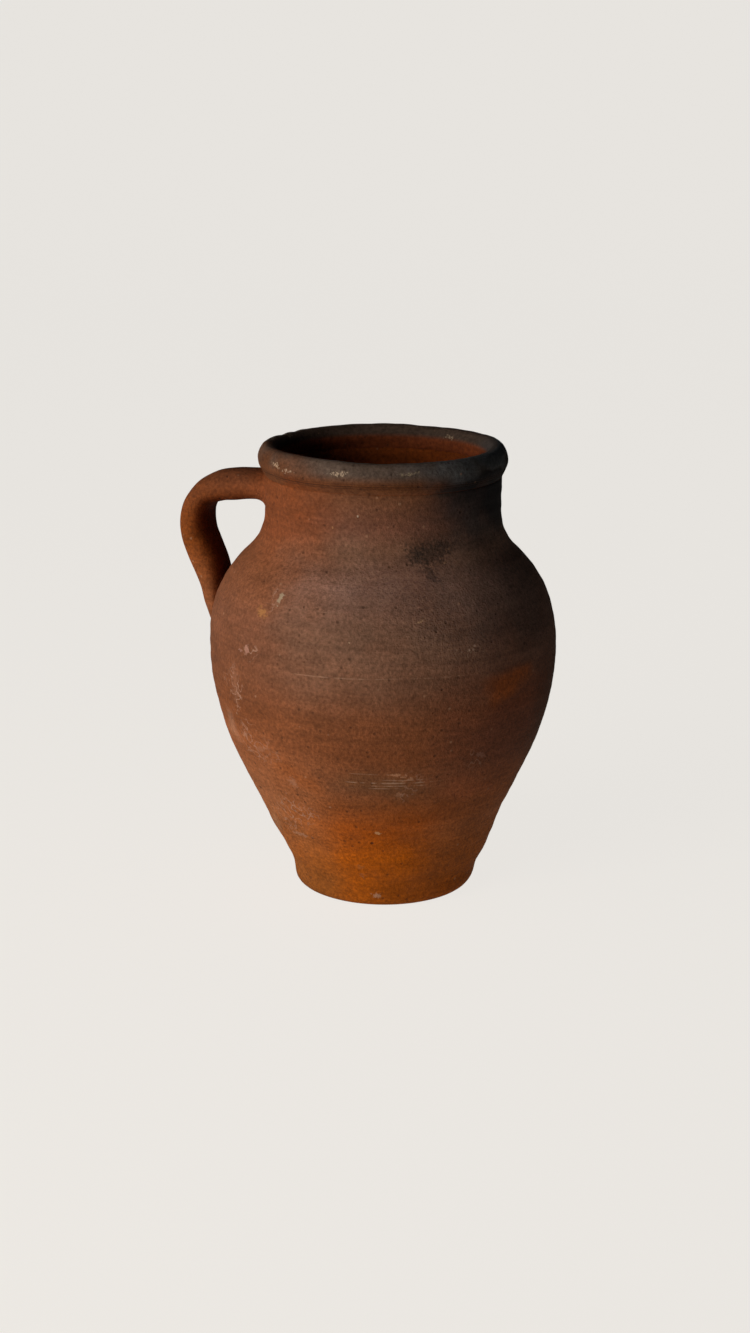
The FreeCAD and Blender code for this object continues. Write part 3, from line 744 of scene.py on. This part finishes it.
def sooted(clay, colour):
    """Broad bluish soot, then the torn smudges on the shoulder and neck."""
    for degrees, height, width, tall, strength, soft, tilt in SOOT:
        mask = clay.patch(degrees, height, width, tall, soft, tilt, depth=0.05)
        colour = clay.stain(mask, strength, colour, SOOT_COLOUR)
    for degrees, height, width, tall, strength, soft, tilt in SOOT_MARKS:
        mask = clay.patch(degrees, height, width, tall, soft, tilt, rag=2.4, fine=True)
        colour = clay.stain(mask, strength, colour, SMUDGE_COLOUR)
    return colour


def marked(clay, colour, marks, crumbled=False):
    """Small ragged marks. crumbled breaks them into crumbs as well."""
    crumbs = clay.mapped(clay.noise(850, 3, 0.6, seed=4.9), 0.42, 0.55, 0.15) if crumbled else None
    for degrees, height, width, tall, tilt, tint, strength, rag in marks:
        mask = clay.patch(degrees, height, width, tall, 0.55, tilt, rag=rag, fine=True)
        if crumbled:
            mask = clay.math("MULTIPLY", mask, crumbs)
        colour = clay.stain(mask, strength, colour, tint)
    return colour


def wisped(clay, colour):
    """Curled pale scuffs, where other pots and hands have rubbed the skin."""
    for degrees, height, width, tall, strength in SCUFFS:
        mask = clay.math("MULTIPLY", clay.patch(degrees, height, width, tall, 0.6), clay.wisps)
        colour = clay.stain(mask, strength, colour, (0.44, 0.27, 0.20))
    return colour


def scratched(clay, colour):
    """Thin scratches round the jug, broken here and there."""
    broken = clay.mapped(clay.noise(140, 3, seed=4.4), 0.40, 0.60)
    for degrees, height, width, tall, tilt, strength in SCRATCHES:
        near = clay.nearness(clay.point, degrees, height, tilt, width, 0.03, tall)
        mask = clay.math("MULTIPLY", clay.mapped(near, 0.5, 0.66), broken)
        colour = clay.stain(mask, strength, colour, (0.42, 0.26, 0.18))
    return colour


def roughness_of(clay, skin, low=0.66, high=0.86):
    return clay.mapped(skin["coarse"], 0.3, 0.7, low, high, smooth=False)


def outside_clay():
    clay = Clay("fired_clay_outside")
    height, skin = grain(clay)
    colour = weathered(clay, sooted(clay, kiln_colour_and_painted_light(clay)), skin)
    colour = scratched(clay, marked(clay, wisped(clay, colour), PALE_MARKS))
    flecks = clay.math("MULTIPLY", speckle(clay, 480, 0.55, 0.46, 2.9),
                       clay.patch(26, 0.168, 0.013, 0.007, 0.8))
    colour = clay.stain(flecks, 0.95, colour, (0.60, 0.43, 0.35))
    turned = clay.math("SINE", clay.math("MULTIPLY", clay.radius, 2 * math.pi / WHEEL_RING))
    underside = clay.mapped(clay.z, 2.4 * MM, 1.2 * MM)
    height = clay.math("ADD", height, clay.math("MULTIPLY", clay.math("MULTIPLY", turned, 0.16), underside))
    return clay.lit(colour, roughness_of(clay, skin), height)


def inside_clay():
    clay = Clay("fired_clay_inside")
    height, skin = grain(clay)
    deep = clay.mapped(clay.z, 0.266, 0.256)
    colour = clay.mix(deep, rgb(0.10, 0.040, 0.022), rgb(0.228, 0.054, 0.009))
    mottle = clay.mapped(clay.noise(48, 4, 0.6, seed=6.1), 0.36, 0.66)
    colour = clay.stain(mottle, 0.45, colour, (0.120, 0.032, 0.012))
    return clay.lit(weathered(clay, colour, skin), roughness_of(clay, skin, 0.74, 0.9), height)


def smoked(clay, colour):
    """The rim's greys: its crown, its warm left, its bluish and black right, and its throat."""
    crown = clay.mapped(clay.z, 0.2575, 0.2650)
    colour = clay.stain(crown, 0.92, colour, (0.112, 0.088, 0.076))
    warm = clay.patch(-64, 0.2620, 0.060, 0.016, 0.9)
    colour = clay.stain(warm, 0.95, colour, (0.130, 0.050, 0.022))
    cool = clay.patch(66, 0.2685, 0.075, 0.012, 0.7, depth=0.09)
    colour = clay.stain(cool, 0.85, colour, (0.105, 0.122, 0.142))
    black = clay.patch(62, 0.2560, 0.050, 0.0075, 0.6, depth=0.06)
    colour = clay.stain(black, 0.90, colour, (0.018, 0.018, 0.022))
    within = clay.mapped(clay.radius, 0.0670, 0.0652)
    colour = clay.stain(within, 0.6, colour, (0.070, 0.045, 0.034))
    throat = clay.math("MULTIPLY", within, clay.mapped(clay.z, 0.2665, 0.2630))
    return clay.stain(throat, 0.9, colour, (0.190, 0.046, 0.014))


def rim_clay():
    clay = Clay("smoked_rim")
    height, skin = grain(clay)
    colour = weathered(clay, smoked(clay, sooted(clay, fired(clay))), skin)
    wavering = clay.node("SeparateXYZ", {0: clay.shifted(40, 0.0010, 2)}).outputs[2]
    outside = clay.mapped(clay.radius, 0.0625, 0.0640)
    for place, depth in SEAM_LINES:
        off = clay.math("ABSOLUTE", clay.math("SUBTRACT", wavering, place))
        line = clay.math("MULTIPLY", clay.mapped(off, 0.50 * MM, 0.12 * MM), outside)
        colour = clay.stain(line, 1.7 * depth, colour, (0.050, 0.026, 0.018))
        height = clay.math("SUBTRACT", height, clay.math("MULTIPLY", line, depth))
    colour = marked(clay, colour, LIME_CHIPS, crumbled=True)
    return clay.lit(colour, roughness_of(clay, skin), height)


def handle_clay(name):
    """The strap's own colour, with painted shade where it faces the jug and down, and the neck's colour at
    its root.
    """
    clay = Clay(name)
    height, skin = grain(clay)
    colour = colour_up(clay, place_up(clay, 60, 0.012), STRAP_COLOURS)
    # painted shade: the strap darkened where its normal turns towards the jug and downwards, away from the
    # lamps
    normal = clay.node("SeparateXYZ", {0: clay.node("NewGeometry").outputs["Normal"]}).outputs
    inward, downward = clay.math("MULTIPLY", normal[0], 0.8), clay.math("MULTIPLY", normal[2], 0.6)
    turned = clay.mapped(clay.math("SUBTRACT", inward, downward), 0.05, 0.75)
    painted_inner_shade = clay.math("MULTIPLY", turned, clay.mapped(clay.radius, 0.072, 0.084))
    colour = clay.stain(painted_inner_shade, 0.85, colour, (0.105, 0.022, 0.005))
    root = clay.math("MULTIPLY", clay.mapped(clay.radius, 0.086, 0.070), clay.mapped(clay.z, 0.205, 0.222))
    colour = clay.mix(root, colour, fired(clay))
    return clay.lit(weathered(clay, colour, skin), roughness_of(clay, skin), height)


# ---------------------------------------------------------------- the jug

def paint_body(body, outside_rows, inside_rows):
    """The outside's clay, and the inside's from the top of the neck down."""
    body.data.materials.append(outside_clay())
    body.data.materials.append(inside_clay())
    slots = np.zeros(len(body.data.polygons), np.int32)
    slots[(outside_rows - 1) * COLUMNS:(outside_rows + inside_rows - 1) * COLUMNS] = 1
    slots[-COLUMNS:] = 1
    body.data.polygons.foreach_set("material_index", slots)


body, *row_counts = make_body()
paint_body(body, *row_counts)
rim = make_rim()
rim.data.materials.append(rim_clay())
strap = make_strap()
upper = make_weld("jug_upper_weld", 0.28, 0.0, upper_spread, upper_climb)
lower = make_weld("jug_lower_weld", 0.66, 1.0, lower_spread, lower_climb)
for piece in (strap, upper, lower):
    piece.data.materials.append(handle_clay(piece.name + "_clay"))

STANDS_FOR = ((body, "thrown_body"), (rim, "rim_roll"), (strap, "strap_handle"),
              (upper, "upper_handle_weld"), (lower, "lower_handle_weld"))
for piece, node in STANDS_FOR:
    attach(piece, "root")
    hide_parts(node)


# ---------------------------------------------------------------- floor, light and camera

def floor_paint():
    """Pale and mostly self-lit, so that the floor has the same tone from every side."""
    paint = bpy.data.materials.new("pale_floor")
    paint.use_nodes = True
    shader = paint.node_tree.nodes["Principled BSDF"]
    shader.inputs["Base Color"].default_value = rgb(0.16, 0.155, 0.15)
    shader.inputs["Roughness"].default_value = 0.95
    shader.inputs["Specular IOR Level"].default_value = 0.0
    shader.inputs["Emission Color"].default_value = rgb(0.99, 0.96, 0.915)
    shader.inputs["Emission Strength"].default_value = 0.80
    return paint


def make_floor():
    """A pale floor that curves up into a wall a long way off on every side."""
    steps, flat, curve, wall_top = 48, 3.2, 1.6, 4.5
    bend = [(flat + curve * math.sin(t), curve - curve * math.cos(t))
            for t in np.linspace(0, math.pi / 2, 14)]
    profile = [(0.4, 0), (1.2, 0), (2.2, 0), *bend, (flat + curve, wall_top)]
    points = [(0, 0, 0)] + [(r * math.cos(2 * math.pi * k / steps), r * math.sin(2 * math.pi * k / steps), z)
                            for r, z in profile for k in range(steps)]
    faces = [(0, 1 + k, 1 + (k + 1) % steps) for k in range(steps)]
    for row in range(len(profile) - 1):
        a, b = 1 + row * steps, 1 + (row + 1) * steps
        faces += [(a + k, b + k, b + (k + 1) % steps, a + (k + 1) % steps) for k in range(steps)]
    mesh = bpy.data.meshes.new("floor")
    mesh.from_pydata(points, [], faces)
    mesh.shade_smooth()
    floor = bpy.data.objects.new("floor", mesh)
    bpy.context.scene.collection.objects.link(floor)
    mesh.materials.append(floor_paint())
    floor.visible_diffuse = floor.visible_glossy = False


def make_light(name, degrees, rise, distance, size, power, colour):
    """A soft round light that faces the jug's middle, placed by its degrees round from the camera's side
    and above the level, and by its distance. The floor hides the lower part of the low ones."""
    data = bpy.data.lights.new(name, "AREA")
    data.shape, data.size, data.energy, data.color = "DISK", size, power, colour
    turn, lift = math.radians(degrees) + CAMERA_TURN, math.radians(rise)
    aim = Vector((0, 0, 0.14))
    away = Vector((math.sin(turn) * math.cos(lift), -math.cos(turn) * math.cos(lift), math.sin(lift)))
    light = bpy.data.objects.new(name, data)
    light.location = aim + away * distance
    light.rotation_euler = away.to_track_quat("Z", "Y").to_euler()
    bpy.context.scene.collection.objects.link(light)
    return light


def make_bounce():
    """The light that a pale floor sends back up under the belly, which the self-lit floor doesn't give."""
    data = bpy.data.lights.new("bounce", "AREA")
    data.shape, data.size, data.energy, data.color = "DISK", 1.6, 2.0, (1.0, 0.86, 0.70)
    light = bpy.data.objects.new("bounce", data)
    light.location = (0, 0, 0.5 * MM)
    light.rotation_euler = (math.pi, 0, 0)
    light.visible_camera = False
    bpy.context.scene.collection.objects.link(light)


CAMERA_AT = (0.3946, -1.2145, 0.4907)
LENS, LOOK_DOWN = 59.4, math.radians(15.6)
PAN, ROLL = 0.0039, 0.0058          # radians past a square look at the axis


def make_camera():
    """A portrait frame from the photo's side and height."""
    data = bpy.data.cameras.new("camera")
    data.sensor_fit, data.sensor_height, data.lens = "VERTICAL", 36, LENS
    camera = bpy.data.objects.new("camera", data)
    look = (Matrix.Rotation(CAMERA_TURN + PAN, 4, "Z") @ Matrix.Rotation(math.pi / 2 - LOOK_DOWN, 4, "X")
            @ Matrix.Rotation(ROLL, 4, "Z"))
    camera.matrix_world = Matrix.Translation(CAMERA_AT) @ look
    bpy.context.scene.collection.objects.link(camera)
    bpy.context.scene.camera = camera


make_floor()
WARM = (1.0, 0.87, 0.72)
make_light("key", -44, 6, 1.7, 1.1, 20, WARM)
side = make_light("side", -92, 5, 1.7, 1.1, 12, WARM)
jug_only = bpy.data.collections.new("jug_only")     # the low side light doesn't burn a stripe into the floor
for piece, _ in STANDS_FOR:
    jug_only.objects.link(piece)
side.light_linking.receiver_collection = jug_only
make_light("high", -60, 42, 1.7, 1.0, 2, (1.0, 0.90, 0.80))
make_bounce()
make_camera()

world = bpy.data.worlds.new("studio")
world.use_nodes = True
world.node_tree.nodes["Background"].inputs["Color"].default_value = rgb(0.80, 0.90, 1.0)
world.node_tree.nodes["Background"].inputs["Strength"].default_value = 0.010
bpy.context.scene.world = world
bpy.context.scene.view_settings.view_transform = "Standard"
